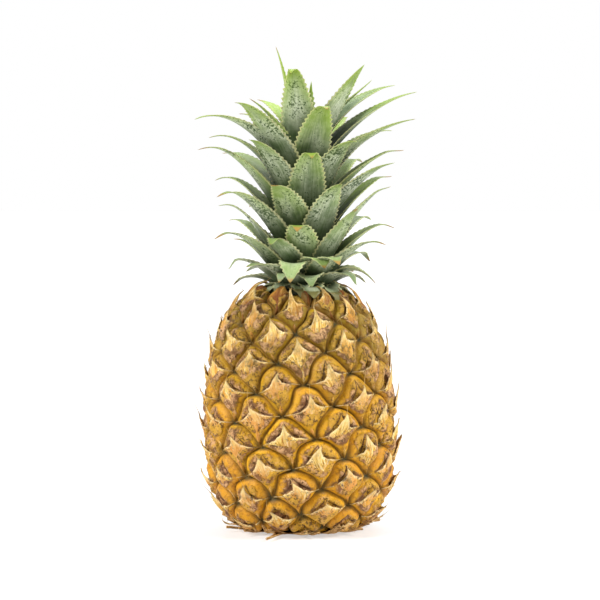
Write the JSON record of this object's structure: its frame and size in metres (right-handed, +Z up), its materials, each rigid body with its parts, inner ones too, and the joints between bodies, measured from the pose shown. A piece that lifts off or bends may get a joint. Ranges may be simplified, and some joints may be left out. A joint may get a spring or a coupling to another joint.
{
  "type": "pineapple",
  "caption": "Whole ripe pineapple standing upright on its cut stem, with spiny bracts over its eyes and a crown of recurved, spiny-edged leaves.",
  "frame": {"origin": "centre of the flat end of the cut stem, on the surface that the pineapple stands on", "axes": "+Z up along the fruit's axis, -Y towards the side that the picture shows"},
  "size_m": [0.1191, 0.1103, 0.2592],
  "materials": {
    "rind": "waxy orange-yellow rind between papery tan bracts",
    "leaf": "grey-green leaves with a pale waxy bloom, yellower at the tips",
    "dry_bract": "dry fibrous brown bracts and a cut, dried stem end"
  },
  "bodies": {
    "root": {"fruit": "rind", "crown": "leaf", "cut_stem": "dry_bract"}
  },
  "joints": []
}
